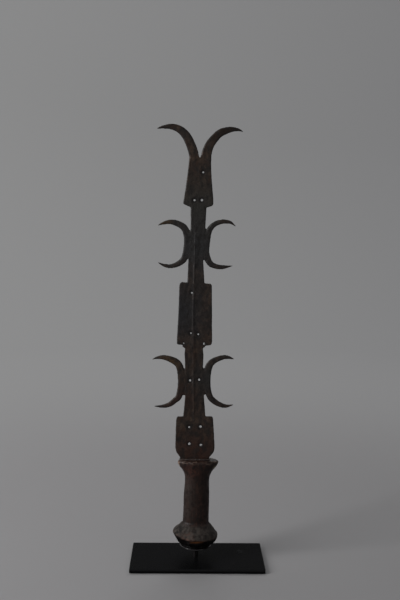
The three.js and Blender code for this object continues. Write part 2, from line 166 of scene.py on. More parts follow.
# %% [markdown]
# ## The sweep
#
# A studio sweep is paper that runs up from the table without a fold, so that no horizon shows. Here
# it is a round bowl, because the object is looked at from every side. A profile turned round the
# vertical axis makes it: a flat floor, a quarter circle and a wall.

# %% The sweep's shape
FLOOR_RADIUS = 2.0
SWEEP_RADIUS = 1.0
WALL_TOP = 3.2
TURNS = 96
CURVE_STEPS = 16

profile = [(0.0, 0.0), (FLOOR_RADIUS, 0.0)]
for step in range(1, CURVE_STEPS + 1):
    angle = step / CURVE_STEPS * math.pi / 2
    profile.append((FLOOR_RADIUS + SWEEP_RADIUS * math.sin(angle), SWEEP_RADIUS * (1 - math.cos(angle))))
profile.append((FLOOR_RADIUS + SWEEP_RADIUS, WALL_TOP))
corners = [
    (radius * math.cos(turn), radius * math.sin(turn), height)
    for radius, height in profile
    for turn in np.linspace(0, 2 * math.pi, TURNS, endpoint=False)
]
ring = [(i, (i + 1) % TURNS) for i in range(TURNS)]
faces = [
    (row * TURNS + i, row * TURNS + j, (row + 1) * TURNS + j, (row + 1) * TURNS + i)
    for row in range(len(profile) - 1)
    for i, j in ring
]
sweep_mesh = bpy.data.meshes.new("sweep")
sweep_mesh.from_pydata(corners, [], faces)
sweep_mesh.shade_smooth()
sweep = bpy.data.objects.new("sweep", sweep_mesh)
bpy.context.scene.collection.objects.link(sweep)
print("sweep", len(faces), "faces")

# %% [markdown]
# The paper is a graduated grey, a tone darker round the object than on the wall, as such papers are
# sold. Lamps close to a sweep leave it uneven, which shows from the sides. More lamps would even it,
# but they would light the object too. So what the camera and reflections see of the paper turns, away
# from the object, by degrees into an even glow, a little lighter on the left. The glow lights nothing,
# and round the object the paper stays plain paper and keeps the shadows.

# %% The paper
NEAR_GREY = "#868586"
FAR_GREY = "#9a9a9b"
GREY_TURNS_FROM, GREY_TURNS_TO = 0.45, 2.2
PAPER_ROUGHNESS = 0.95
GLOW_LEFT = "#929292"
GLOW_RIGHT = "#7e7e7f"
GLOW_HALF_WIDTH = 1.3
GLOW_FROM, GLOW_TO = 0.4, 1.4
GLOW_SHARE = 0.7

grey_paper, tree, place = start_material("graduated_grey_paper")
from_middle = add(tree, "ShaderNodeVectorMath", {0: place}, operation="LENGTH").outputs["Value"]
ends = {"Value": from_middle, "From Min": GREY_TURNS_FROM, "From Max": GREY_TURNS_TO}
outward = add(tree, "ShaderNodeMapRange", ends, interpolation_type="SMOOTHSTEP").outputs[0]
tone = lay_over(tree, colour(NEAR_GREY), outward, 1.0, FAR_GREY)
paper = add(tree, "ShaderNodeBsdfPrincipled", {"Base Color": tone, "Roughness": PAPER_ROUGHNESS})

across = add(tree, "ShaderNodeSeparateXYZ", {"Vector": place}).outputs["X"]
ends = {"Value": across, "From Min": -GLOW_HALF_WIDTH, "From Max": GLOW_HALF_WIDTH}
rightward = add(tree, "ShaderNodeMapRange", ends).outputs[0]
even_grey = lay_over(tree, colour(GLOW_LEFT), rightward, 1.0, GLOW_RIGHT)
glow = add(tree, "ShaderNodeEmission", {"Color": even_grey, "Strength": 1.0})

rays = add(tree, "ShaderNodeLightPath").outputs
seen = rays["Is Camera Ray"]
for kind in ("Is Glossy Ray", "Is Transmission Ray"):
    seen = add(tree, "ShaderNodeMath", {0: seen, 1: rays[kind]}, operation="MAXIMUM").outputs[0]
ends = {"Value": from_middle, "From Min": GLOW_FROM, "From Max": GLOW_TO, "To Max": GLOW_SHARE}
evened = add(tree, "ShaderNodeMapRange", ends, interpolation_type="SMOOTHSTEP").outputs[0]
share = add(tree, "ShaderNodeMath", {0: seen, 1: evened}, operation="MULTIPLY").outputs[0]
shown = add(tree, "ShaderNodeMixShader", {0: share, 1: paper.outputs[0], 2: glow.outputs[0]})
add(tree, "ShaderNodeOutputMaterial", {"Surface": shown.outputs[0]})
sweep.data.materials.append(grey_paper)
print("paper", len(tree.nodes), "nodes")

# %% [markdown]
# ## Light
#
# A tall soft lamp stands on the left, a little in front of the knife. It gives the hilt its light
# left side and leaves its right side dark. A weak lamp fills from the right, one over the back lights
# the wall, and a dim grey world stands for the room. A wide lamp high behind the knife lights its back,
# and the front of the knife doesn't see it. Dark iron and dark wood show themselves by what they
# reflect, so a lamp's size and place matter as much as its strength. The camera doesn't see the lamps.


# %% Lamps and world
def add_lamp(name, place, aim, wide, tall, power):
    """A soft lamp of wide by tall metres at place that faces aim, with power in watts."""
    data = bpy.data.lights.new(name, "AREA")
    data.shape = "RECTANGLE"
    data.size = wide
    data.size_y = tall
    data.energy = power
    lamp = bpy.data.objects.new(name, data)
    bpy.context.scene.collection.objects.link(lamp)
    lamp.visible_camera = False
    lamp.location = place
    lamp.rotation_euler = (Vector(aim) - Vector(place)).to_track_quat("-Z", "Y").to_euler()
    print(name, power, "W")


MIDDLE = (0, 0, 0.35)
WALL_SPOT = (-0.7, 2.9, 0.2)
add_lamp("key_lamp", place=(-1.75, -0.8, 1.2), aim=MIDDLE, wide=0.9, tall=1.4, power=44)
add_lamp("fill_lamp", place=(1.6, -1.5, 1.2), aim=MIDDLE, wide=1.2, tall=1.2, power=2.5)
add_lamp("wall_lamp", place=(-0.6, 0.9, 2.5), aim=WALL_SPOT, wide=1.6, tall=1.2, power=18)
add_lamp("back_lamp", place=(0.25, 1.7, 2.1), aim=MIDDLE, wide=1.8, tall=1.2, power=17)

ROOM_GREY = "#d8dadd"
ROOM_STRENGTH = 0.18
world = bpy.data.worlds.new("room")
world.use_nodes = True
world.node_tree.nodes["Background"].inputs["Color"].default_value = colour(ROOM_GREY)
world.node_tree.nodes["Background"].inputs["Strength"].default_value = ROOM_STRENGTH
bpy.context.scene.world = world

# %% [markdown]
# ## Relief
#
# A hammered or carved surface is uneven all over, and its silhouette shows it too. Bump in a material
# can't change a silhouette, so the two big pieces get a real relief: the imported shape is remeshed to
# small even faces, and each vertex then moves a little along its normal by a formula of its place.

# %% Dense copies
SOFTEN_FACTOR = 0.5
SOFTEN_ROUNDS = 2


def dense_copy(node, name, voxel):
    """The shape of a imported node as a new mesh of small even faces, softened a little."""
    piece = bpy.data.objects.new(name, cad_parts[node].data.copy())
    bpy.context.scene.collection.objects.link(piece)
    remesh = piece.modifiers.new("remesh", "REMESH")
    remesh.mode = "VOXEL"
    remesh.voxel_size = voxel
    soften = piece.modifiers.new("soften", "SMOOTH")
    soften.factor = SOFTEN_FACTOR
    soften.iterations = SOFTEN_ROUNDS
    shown = piece.evaluated_get(bpy.context.evaluated_depsgraph_get())
    dense = bpy.data.meshes.new_from_object(shown)
    piece.modifiers.clear()
    piece.data = dense
    piece.data.materials.clear()
    return piece


def points_of(piece):
    """The vertices of a piece and their normals, as two arrays."""
    count = len(piece.data.vertices)
    points = np.empty(count * 3)
    normals = np.empty(count * 3)
    piece.data.vertices.foreach_get("co", points)
    piece.data.vertices.foreach_get("normal", normals)
    return points.reshape(-1, 3), normals.reshape(-1, 3)


def set_points(piece, points):
    """Moves the vertices of a piece and shades it smooth."""
    piece.data.vertices.foreach_set("co", points.ravel())
    piece.data.update()
    piece.data.shade_smooth()


# %% [markdown]
# Two kinds of noise make the relief. Swells are smooth and go both ways, like wear. Hollows meet in
# ridges, like the marks of a hammer's round face or of an adze. Each takes the size of one mark, and
# a shift, which picks another stretch of the same noise, so that no two patterns lie alike.


# %% Swells and hollows
def waves(points, size, shift=0.0):
    """Smooth noise from about -1 to 1, with swells about size metres across. Size may be three sizes."""
    return np.array([noise.noise(Vector(p)) for p in points / np.array(size) + shift])


def dimples(points, size, shift=0.0):
    """Hollows about size metres across: 0 at the middle of each and about 0.6 where they meet."""
    return np.array([noise.voronoi(Vector(p))[0][0] for p in points / np.array(size) + shift])


def cuts(points, depth, size, level, shift=0.0):
    """Round hollows of depth metres that meet in ridges. Level is what leaves the mean height as it is."""
    return depth * (dimples(points, size, shift) ** 2 - level)


# %% [markdown]
# Wear and dirt follow the form: edges are rubbed and hollows fill up. Each vertex is compared with the
# mean of its neighbourhood, and how far it stands out says which of the two it is. The Pointiness of
# the Geometry node could tell them apart as well, but it looks only at the nearest edges, and here the
# number of rounds sets how far the comparison reaches. A value stored with each vertex carries the
# result to the material.


# %% Edges, ramps and stored values
def proud(piece, points, normals, rounds):
    """How far each vertex stands proud of its neighbourhood: above 0 on edges, below 0 in hollows."""
    count = len(points)
    ends = np.empty(2 * len(piece.data.edges), np.int32)
    piece.data.edges.foreach_get("vertices", ends)
    first, second = ends.reshape(-1, 2).T
    here = np.concatenate([first, second])
    there = np.concatenate([second, first])
    neighbours = np.bincount(here, minlength=count)
    soft = points.copy()
    for _ in range(rounds):
        sums = [np.bincount(here, soft[there, axis], count) for axis in range(3)]
        soft = np.stack(sums, 1) / neighbours[:, None]
    return ((points - soft) * normals).sum(1)


def ramp(values, low, high):
    """0 below low, 1 above high and a smooth rise between. It falls where low is above high."""
    share = np.clip((values - low) / (high - low), 0, 1)
    return share * share * (3 - 2 * share)


def note(piece, name, values):
    """Stores a value for each vertex, which a material can read by its name."""
    attribute = piece.data.attributes.new(name, "FLOAT", "POINT")
    attribute.data.foreach_set("value", values.astype(np.float32))


# %% [markdown]
# ## The iron
#
# The blade is bloomery iron: smelted in a clay furnace, hammered out hot, and left with the black
# scale of the forge. It is 3 mm thick, so the faces of the dense copy are under 1 mm. The flat sides
# and the narrow edges get different relief, and how much a vertex faces front or back parts the two.

# %% A dense copy of the blade
BLADE_VOXEL = 0.75 * MM

blade = dense_copy("blade", "blade_iron", BLADE_VOXEL)
points, normals = points_of(blade)
facing = np.abs(normals[:, 1])
print("blade", len(points), "vertices")

# %% [markdown]
# The crescents were welded to the shaft in the fire and hammered flush, so no sharp inner corner is
# left there. Every hollow of the flat sides is filled up to the softened form. The rib down the middle
# is worn: its crest loses a quarter of what stands proud. The rib bends a little, and its middle is
# given at three heights above the blade's foot.

# %% Welds and the rib
BLADE_FOOT = 156.82
RIB_HEIGHTS = (40, 215, 358)
RIB_ACROSS = (-6.9, -9.6, -7.3)
RIB_HALF_WIDTH = 2.5 * MM
RIB_FADES_AT = 4.5 * MM
RIB_WORN = 0.25
WELD_ROUNDS = 24

rib_middle = np.interp(points[:, 2] / MM - BLADE_FOOT, RIB_HEIGHTS, RIB_ACROSS) * MM
on_rib = ramp(np.abs(points[:, 0] - rib_middle), RIB_FADES_AT, RIB_HALF_WIDTH)
stands = proud(blade, points, normals, WELD_ROUNDS)
filled = np.maximum(-stands, 0)
worn = RIB_WORN * np.maximum(stands, 0) * on_rib
welded = (filled - worn) * facing
print("filled by up to", round(welded.max() / MM, 2), "mm")

# %% [markdown]
# The hammer left shallow dimples about 12 mm wide, and rust left small pits. Both come from noise in
# space. The iron is so thin that the hammer's marks would be nearly the same on front and back, as if
# they were pressed through, so their noise is squeezed in depth until the two sides differ.

# %% Hammer marks and pits
HAMMER_SIZE = 12 * MM
HAMMER_DEPTH = 0.55 * MM
HAMMER_LEVEL = 0.25
DEPTH_SQUEEZE = 12
PIT_SIZE = 3.2 * MM
PIT_DEPTH = 0.16 * MM

two_sided = points * (1, DEPTH_SQUEEZE, 1)
hammered = cuts(two_sided, HAMMER_DEPTH, HAMMER_SIZE, HAMMER_LEVEL) * facing
pitted = PIT_DEPTH * waves(points, PIT_SIZE, shift=40.0)
print("hammered from", round(hammered.min() / MM, 2), "to", round(hammered.max() / MM, 2), "mm")

# %% [markdown]
# No edge was filed straight. Long swells and small nicks move the edges in and out. They are
# multiplied by how little a vertex faces front or back, so only the narrow edges move. The back of the
# right horn swells by about a millimetre, and that grows with how far a vertex faces up.

# %% Edges
EDGE_SWELL = 0.25 * MM
EDGE_SWELL_SIZE = 16 * MM
EDGE_NICK = 0.12 * MM
EDGE_NICK_SIZE = 4 * MM
HORN_BULGE = 1.1 * MM
HORN_BULGE_X = 0.035
HORN_BULGE_Z = 0.6445
HORN_BULGE_WHOLE = 5 * MM
HORN_BULGE_ENDS = 17 * MM

edge = EDGE_SWELL * waves(points, EDGE_SWELL_SIZE, shift=80.0) * (1 - facing)
edge_nicks = EDGE_NICK * waves(points, EDGE_NICK_SIZE, shift=11.0) * (1 - facing)
along_horn = np.hypot(points[:, 0] - HORN_BULGE_X, points[:, 2] - HORN_BULGE_Z)
facing_up = np.clip(normals[:, 2], 0, 1)
edge += HORN_BULGE * ramp(along_horn, HORN_BULGE_ENDS, HORN_BULGE_WHOLE) * facing_up
print("edges from", round(edge.min() / MM, 2), "to", round(edge.max() / MM, 2), "mm")

# %% [markdown]
# The holes were punched, not drilled, and a punch drags the metal round the hole down with it. Each
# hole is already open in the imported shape. Here its rim sinks into a dish, by the distance from the
# hole's middle, which is given across the blade and up from its foot.

# %% Punched holes
HOLES = (
    (2.9, 427.5),
    (-9.4, 387.2),
    (1.5, 387.4),
    (-11.8, 252),
    (-12.6, 192.1),
    (-1.7, 190.6),
    (-13.1, 121),
    (0.3, 122.3),
    (-13.9, 50),
    (3.1, 50.9),
    (-13.5, 24.4),
    (3.9, 23.1),
)
DISH_DEPTH = 0.3 * MM
DISH_WHOLE = 2.8 * MM
DISH_ENDS = 5.4 * MM

punched = np.zeros(len(points))
for hole_x, hole_up in HOLES:
    away = np.hypot(points[:, 0] - hole_x * MM, points[:, 2] - (BLADE_FOOT + hole_up) * MM)
    punched = np.maximum(punched, ramp(away, DISH_ENDS, DISH_WHOLE))
dished = -DISH_DEPTH * punched * facing
print(len(HOLES), "holes")

# %% [markdown]
# All of it is added up and moves the vertices once. Three values are then stored for the material: the
# rib's crest, where it stands out, the bevelled edges, which turn away from front and back, and the
# dishes round the holes.

# %% The blade's new surface
CREST_ROUNDS = 6
CREST_FROM = 0.05 * MM
CREST_TO = 0.3 * MM
FLAT_ABOVE = 0.96
BEVEL_BELOW = 0.8

relief = welded + hammered + pitted + edge + edge_nicks + dished
set_points(blade, points + normals * relief[:, None])
points, normals = points_of(blade)
crest = ramp(proud(blade, points, normals, CREST_ROUNDS), CREST_FROM, CREST_TO)
note(blade, "crown", crest * on_rib)
note(blade, "bevelled", ramp(np.abs(normals[:, 1]), FLAT_ABOVE, BEVEL_BELOW))
note(blade, "punched", punched)
print("relief from", round(relief.min() / MM, 2), "to", round(relief.max() / MM, 2), "mm")

# %% [markdown]
# ## Forged iron
#
# Old forge scale is dark, dull and a little metallic, and it is never one colour. Its brown drifts over
# some centimetres, clouds and streaks of thinner scale lie over that, and rust stays in patches where
# hands didn't rub. One noise would look like a camouflage, so each coat has its own size and shape.
# A real scale's finest specks are a few tenths of a millimetre wide, which is less than a pixel of the
# picture, so grain and flecks are drawn 1.3 mm and 6 mm wide.

# %% The iron's patterns
forged_iron, tree, place = start_material("forged_iron")
drift = patches(tree, place, 50 * MM, 0.4, 0.6)
mottle = patches(tree, place, 7 * MM, detail=6.0)
streaks = patches(tree, place, 5 * MM, 0.4, 0.66, stretch=(1, 1, 0.35))
flecks = patches(tree, place, 6 * MM, 0.48, 0.62, detail=5.0, stretch=(1, 1, 0.5))
blots = patches(tree, place, 6.5 * MM, 0.48, 0.62, detail=5.0, stretch=(1, 1, 0.6))
grain = patches(tree, place, 1.3 * MM, detail=6.0)
rust = patches(tree, place, 14 * MM, 0.56, 0.72, detail=7.0)
crown, bevelled, punched = [
    add(tree, "ShaderNodeAttribute", attribute_name=name).outputs["Fac"]
    for name in ("crown", "bevelled", "punched")
]
print("iron", len(tree.nodes), "pattern nodes")

# %% [markdown]
# The coats go on in the order in which they came: the brown of thin scale, then its clouds and
# streaks, then rust. The smith's fire wasn't even, so some stretches of the iron are bluer, browner or
# yellower than others, and those are laid on by place, with the middle plate's left half painted darker
# as painted shade. Dark blots, fine grain and the marks of use come last: the rib's crest is rubbed
# pale. Last comes painted shade: the bevelled edges and the dishes round the holes are darkened.

# %% The iron's coats
TINTS_AND_PAINTED_SHADE = {
    "left horn's tip": ((-0.066, 0.0, 0.645), 0.042, "#24150f"),
    "right horn": ((0.038, 0.0, 0.638), 0.045, "#23170f"),
    "top plate's foot": ((-0.004, 0.0, 0.545), 0.035, "#3b2a21"),
    "upper shaft": ((-0.003, 0.0, 0.53), 0.07, "#363531"),
    "upper cross": ((-0.006, 0.0, 0.475), 0.07, "#323233"),
    # Painted shade: the middle plate's left half is painted darker and bluer.
    "middle plate's left half, painted shade": ((-0.03, 0.0, 0.38), 0.07, "#2b2b2e"),
    "lower right crescent": ((0.02, 0.0, 0.28), 0.05, "#2f2e2d"),
    "over the guard": ((-0.005, 0.0, 0.165), 0.055, "#3f261c"),
    "lower left crescent's arm": ((-0.043, 0.0, 0.304), 0.022, "#57432b"),
    "upper left crescent's tip": ((-0.052, 0.0, 0.51), 0.016, "#46351f"),
    "lower left crescent's back": ((-0.028, 0.0, 0.25), 0.04, "#36231c"),
}

skin = lay_over(tree, colour("#443024"), drift, 1.0, "#372a23")
skin = lay_over(tree, skin, mottle, 0.8, "#1f1a18")
skin = lay_over(tree, skin, streaks, 0.4, "#3d342d")
skin = lay_over(tree, skin, flecks, 0.55, "#56463a")
skin = lay_over(tree, skin, rust, 0.3, "#40291d")
for centre, radius, hue in TINTS_AND_PAINTED_SHADE.values():
    skin = lay_over(tree, skin, near(tree, place, centre, radius), 1.0, hue)
skin = lay_over(tree, skin, blots, 0.7, "#120e0c")
skin = lay_over(tree, skin, grain, 0.6, "#15110f")
skin = lay_over(tree, skin, crown, 0.4, "#544d49")
# Painted shade: the bevelled edges, which turn away from front and back, are darkened.
skin = lay_over(tree, skin, bevelled, 0.7, "#0c0a09")
# Painted shade: the dishes round the punched holes are darkened.
skin = lay_over(tree, skin, punched, 0.75, "#0f0b0a")
print("iron", len(TINTS_AND_PAINTED_SHADE), "tinted places")

# %% [markdown]
# Scale is an oxide over metal, so the surface is set between the two, and the blots are its dullest
# part. The grit of scale is finer than a tenth of a millimetre, too fine to show, so it is drawn as a
# bump 0.9 mm wide.

# %% The iron's finish
IRON_METALLIC = 0.45
IRON_ROUGHNESS, BLOT_ROUGHNESS = 0.45, 0.7
GRIT_SIZE = 0.9 * MM
GRIT_HEIGHT = 0.15 * MM
GRIT_STRENGTH = 0.7

ends = {"Value": blots, "To Min": IRON_ROUGHNESS, "To Max": BLOT_ROUGHNESS}
dull = add(tree, "ShaderNodeMapRange", ends).outputs[0]
grit = add(tree, "ShaderNodeTexNoise", {"Vector": place, "Scale": 1 / GRIT_SIZE, "Detail": 5.0}).outputs[0]
rise = {"Height": grit, "Strength": GRIT_STRENGTH, "Distance": GRIT_HEIGHT}
bump = add(tree, "ShaderNodeBump", rise).outputs[0]
finish_material(tree, {"Base Color": skin, "Metallic": IRON_METALLIC, "Roughness": dull, "Normal": bump})
blade.data.materials.append(forged_iron)
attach(blade, "knife")
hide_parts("blade")
print("forged iron", len(tree.nodes), "nodes")

# %% [markdown]
# ## The hilt
#
# The hilt is a dense dark hardwood, cut with an adze and a knife and then blackened and polished by
# hands. The grip is nearly smooth, the pommel keeps its adze cuts, and the guard's thin rim is knocked
# and chipped. So the hilt is parted by height into pommel, grip, guard and rim, each a share from 0 to
# 1. The pin's bore, the tang's socket and the seat of the iron get no relief, as other pieces fit there.

# %% A dense copy of the hilt and its zones
HILT_VOXEL = 0.65 * MM
PIN_ACROSS = -2.5 * MM
TANG_ACROSS = -5 * MM
GRIP_FOOT = 33.4 * MM
GUARD_FOOT = 97.4 * MM
HILT_TOP = 128.9 * MM
BORE_TOP = 50 * MM
BORE_KEPT = 6 * MM
SOCKET_HALF_DEEP = 5 * MM
SOCKET_HALF_WIDE = 15 * MM
SOCKET_END = HILT_TOP - 0.1 * MM

hilt = dense_copy("hilt", "hilt_wood", HILT_VOXEL)
points, normals = points_of(hilt)
low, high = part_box("hilt")
height = points[:, 2] - low.z
pin_away = np.hypot(points[:, 0] - PIN_ACROSS, points[:, 1])
from_middle_plane = np.abs(points[:, 1])
in_bore = (pin_away < BORE_KEPT) & (height < BORE_TOP)
in_socket = (from_middle_plane < SOCKET_HALF_DEEP) & (np.abs(points[:, 0] - TANG_ACROSS) < SOCKET_HALF_WIDE)
in_socket &= (height > BORE_TOP) & (height < SOCKET_END)
on_seat = ramp(height, HILT_TOP - 1.2 * MM, HILT_TOP - 0.2 * MM) * ramp(from_middle_plane, 9 * MM, 6 * MM)
above_foot = ramp(height, 0.3 * MM, 2 * MM)
outside = np.where(in_bore | in_socket, 0.0, 1.0) * (1 - on_seat) * above_foot
on_pommel = ramp(height, GRIP_FOOT, GRIP_FOOT - 6 * MM)
on_guard = ramp(height, GUARD_FOOT, GUARD_FOOT + 14 * MM)
on_rim = ramp(height, HILT_TOP - 9 * MM, HILT_TOP - 3 * MM)
on_grip = (1 - on_pommel) * (1 - on_guard)
print("hilt", len(points), "vertices", round(high.z - low.z, 4), "m tall")

# %% [markdown]
# An adze or a knife leaves shallow round hollows that meet in ridges. On the grip they are long, since
# the knife ran with the grain, and on the pommel they are deep and about as wide as high.

# %% Tool cuts
GRIP_CUT = (12 * MM, 12 * MM, 50 * MM)
POMMEL_CUT = (15 * MM, 15 * MM, 14 * MM)
GUARD_CUT = (9 * MM, 9 * MM, 8 * MM)

grip_cuts = cuts(points, 0.6 * MM, GRIP_CUT, level=0.22, shift=5.0)
pommel_cuts = cuts(points, 2.0 * MM, POMMEL_CUT, level=0.26, shift=9.3)
guard_cuts = cuts(points, 0.9 * MM, GUARD_CUT, level=0.22, shift=2.7)
tooled = grip_cuts * on_grip + pommel_cuts * on_pommel + guard_cuts * on_guard * (1 - on_rim)
print("cut from", round(tooled.min() / MM, 2), "to", round(tooled.max() / MM, 2), "mm")

# %% [markdown]
# The guard's rim has lost chips, but not everywhere. Evenly spaced hollows would look like a row of
# beads, so a broad swell says where the chips are deep. Grain lines run up the whole hilt, and small
# knocks lie all over it, shallower on the grip.

# %% Chips, grain and knocks
CHIP_SIZE = (7 * MM, 7 * MM, 4 * MM)
CHIP_DEPTH = 1.3 * MM
CHIP_LEVEL = 0.4
CHIP_LEAST = 0.15
RIM_SWELL = 0.5 * MM
GRAIN_LINE = (1.8 * MM, 1.8 * MM, 30 * MM)
GRAIN_DEPTH = 0.08 * MM
KNOCK_SIZE = 3.4 * MM
KNOCK_DEPTH = 0.22 * MM
GRIP_SPARED = 0.6

chipped = ramp(waves(points, 13 * MM, shift=51.0), -0.15, 0.3)
chip_share = CHIP_LEAST + (1 - CHIP_LEAST) * chipped
rim_chips = CHIP_DEPTH * (dimples(points, CHIP_SIZE, shift=31.0) - CHIP_LEVEL) * chip_share
rim_chips += RIM_SWELL * waves(points, 10 * MM, shift=61.0)
grain_lines = GRAIN_DEPTH * waves(points, GRAIN_LINE, shift=3.0)
knocks = KNOCK_DEPTH * waves(points, KNOCK_SIZE, shift=17.0) * (1 - GRIP_SPARED * on_grip)
relief = tooled + rim_chips * on_rim + grain_lines + knocks
set_points(hilt, points + normals * (relief * outside)[:, None])
print("relief from", round(relief.min() / MM, 2), "to", round(relief.max() / MM, 2), "mm")

# %% [markdown]
# The material needs to know the rubbed ridges and the dirty hollows, the pommel's dusty upper slope,
# its underside, which gets painted shade, and the narrow lip between the two, where one spot is rubbed
# bare.

# %% Stored values for the wood
PROUD_ROUNDS = 10
RIDGE_FROM, RIDGE_TO = 0.08 * MM, 0.4 * MM
HOLLOW_FROM, HOLLOW_TO = -0.04 * MM, -0.25 * MM
RIDGE_OFF_RIM = 0.4
UNDERSIDE_TOP = 20 * MM
UNDERSIDE_WHOLE = 17 * MM
LIP_FOOT, LIP_TOP, LIP_SOFT = 11 * MM, 15 * MM, 1.5 * MM

points, normals = points_of(hilt)
stands = proud(hilt, points, normals, PROUD_ROUNDS)
facing_up = normals[:, 2]
rubbed = RIDGE_OFF_RIM + (1 - RIDGE_OFF_RIM) * on_rim
in_lip = ramp(height, LIP_FOOT, LIP_FOOT + LIP_SOFT) * ramp(height, LIP_TOP, LIP_TOP - LIP_SOFT)
note(hilt, "crown", ramp(stands, RIDGE_FROM, RIDGE_TO) * rubbed)
note(hilt, "hollow", ramp(stands, HOLLOW_FROM, HOLLOW_TO))
# Painted shade: the pommel's faces that turn down near its foot are marked for darkening.
note(hilt, "under", ramp(facing_up, 0.05, -0.3) * ramp(height, UNDERSIDE_TOP, UNDERSIDE_WHOLE))
note(hilt, "dusty", ramp(facing_up, 0.15, 0.6) * on_pommel)
note(hilt, "lip", in_lip)
print("hilt", round(float((stands > RIDGE_FROM).mean()), 2), "of it ridges")

# %% [markdown]
# ## Dark hardwood
#
# The wood is a near-black reddish brown. Its pores are about 0.2 mm wide, too fine to show, so the
# grain is drawn 3 mm wide and about twelve times as long. Over the drift of the wood's colour lie
# clouds of soot and oil, then dust on the pommel's slope, then blots. Ridges are rubbed pale and
# hollows hold dirt.

# %% The wood's patterns and coats
dark_hardwood, tree, place = start_material("dark_hardwood")
drift = patches(tree, place, 26 * MM, 0.38, 0.62, stretch=(1, 1, 0.5))
mottle = patches(tree, place, 6 * MM, detail=6.0)
grain = patches(tree, place, 3 * MM, 0.38, 0.62, stretch=(1, 1, 0.08))
blots = patches(tree, place, 6 * MM, 0.48, 0.62, detail=5.0, stretch=(1, 1, 0.7))
crown, hollow, under, dusty, lip = [
    add(tree, "ShaderNodeAttribute", attribute_name=name).outputs["Fac"]
    for name in ("crown", "hollow", "under", "dusty", "lip")
]
skin = lay_over(tree, colour("#342019"), drift, 1.0, "#2b1b16")
skin = lay_over(tree, skin, mottle, 0.7, "#170c08")
skin = lay_over(tree, skin, grain, 0.6, "#120906")
skin = lay_over(tree, skin, dusty, 0.6, "#423f3b")
skin = lay_over(tree, skin, blots, 0.65, "#100806")
skin = lay_over(tree, skin, crown, 0.6, "#604f44")
skin = lay_over(tree, skin, hollow, 0.7, "#0f0908")
print("wood", len(tree.nodes), "nodes so far")

# %% [markdown]
# Hands and knocks wear a hilt in some places and leave dirt in others, which no form can tell. Those
# places are laid on one by one, each broken up by the same small patches, so that none has a round
# outline. Some of them are painted light: the guard's top on the right and the pommel's left flank are
# darkened as painted shade, and the grip's left side is greyed as a painted sheen. Last come the
# pommel's underside, darkened as painted shade, and one spot on its lip with fresh orange-brown wood.

# %% Worn and dirty places, painted shade and sheen
WEAR_DIRT_AND_PAINTED_LIGHT = {
    "pommel's rim on the left, bare wood": ((-0.017, -0.031, 0.045), 0.016, "#5e463d"),
    "guard's left corner, bare wood": ((-0.03, -0.004, 0.151), 0.007, "#8c7668"),
    # Painted shade: the guard's top on the right is darkened.
    "guard's top on the right, painted shade": ((0.02, 0.0, 0.1575), 0.022, "#0a0605"),
    "guard's right corner, bare wood": ((0.027, -0.004, 0.148), 0.009, "#5c5238"),
    "guard's flank, redder wood": ((-0.01, -0.014, 0.142), 0.018, "#39211a"),
    "low on the grip, dirt": ((0.001, -0.018, 0.071), 0.018, "#090403"),
    # Painted shade: the pommel's left flank is darkened.
    "pommel's left flank, painted shade": ((-0.034, -0.018, 0.054), 0.036, "#090605"),
    # Painted sheen: the grip's left side, where the light falls, is painted greyer.
    "grip's left side, low, painted sheen": ((-0.021, -0.008, 0.085), 0.03, "#2d2521"),
    "grip's left side, high, painted sheen": ((-0.021, -0.008, 0.115), 0.03, "#2d2521"),
}
FRESH_SPOT = (-0.001, -0.034, 0.041)
FRESH_RADIUS = 0.013

broken_up = patches(tree, place, 4.5 * MM, 0.4, 0.58)
for centre, radius, hue in WEAR_DIRT_AND_PAINTED_LIGHT.values():
    sockets = {0: near(tree, place, centre, radius), 1: broken_up}
    mask = add(tree, "ShaderNodeMath", sockets, operation="MULTIPLY").outputs[0]
    skin = lay_over(tree, skin, mask, 1.0, hue)
# Painted shade: the pommel's underside is darkened nearly to black.
skin = lay_over(tree, skin, under, 1.0, "#040202")
sockets = {0: lip, 1: near(tree, place, FRESH_SPOT, FRESH_RADIUS)}
fresh = add(tree, "ShaderNodeMath", sockets, operation="MULTIPLY").outputs[0]
skin = lay_over(tree, skin, fresh, 1.0, "#5f3717")
print("wood", len(WEAR_DIRT_AND_PAINTED_LIGHT), "worn, dirty and painted-light places")

# %% [markdown]
# Years of hands have given the wood a dull polish, so its left side shines softly, and dust has taken
# it from the pommel's slope. Oiled wood reflects about as any varnish does, but soot dims it, so the
# specular level lies below its usual value of 0.5.

# %% The wood's finish
POLISHED, SOOTY, DUSTY = 0.42, 0.6, 0.85
WOOD_SPECULAR = 0.26
GRAIN_RISE = 0.15 * MM
GRAIN_STRENGTH = 0.3

ends = {"Value": mottle, "To Min": POLISHED, "To Max": SOOTY}
polish = add(tree, "ShaderNodeMapRange", ends).outputs[0]
ends = {"Value": dusty, "To Min": polish, "To Max": DUSTY}
polish = add(tree, "ShaderNodeMapRange", ends).outputs[0]
rise = {"Height": grain, "Strength": GRAIN_STRENGTH, "Distance": GRAIN_RISE}
bump = add(tree, "ShaderNodeBump", rise).outputs[0]
sockets = {"Base Color": skin, "Roughness": polish, "Specular IOR Level": WOOD_SPECULAR, "Normal": bump}
finish_material(tree, sockets)
hilt.data.materials.append(dark_hardwood)
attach(hilt, "knife")
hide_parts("hilt")
print("dark hardwood", len(tree.nodes), "nodes")

# %% [markdown]
# ## The plate's matt enamel
#
# The plate's steel is sprayed with matt black enamel. Seen at this flat angle it stays nearly black, so
# its specular level is far below a usual paint's. The spray's speckle is about 0.5 mm in the real
# paint and is drawn 1.2 mm wide. The upper part of the sides is painted a tone paler, as it is in the
# picture: a painted highlight along the plate's edge. A few scuffs lie on the right.

# %% Matt black enamel
SPECKLE_SIZE = 1.2 * MM
SCUFF_SPOT = (0.066, 0.018, 0.0068)
SCUFF_RADIUS = 0.008
TOP_ABOVE, SIDE_BELOW = 0.95, 0.5
SIDE_HIGHLIGHT_FROM, SIDE_HIGHLIGHT_TO = 3 * MM, 5 * MM
PLATE_SPECULAR = 0.014

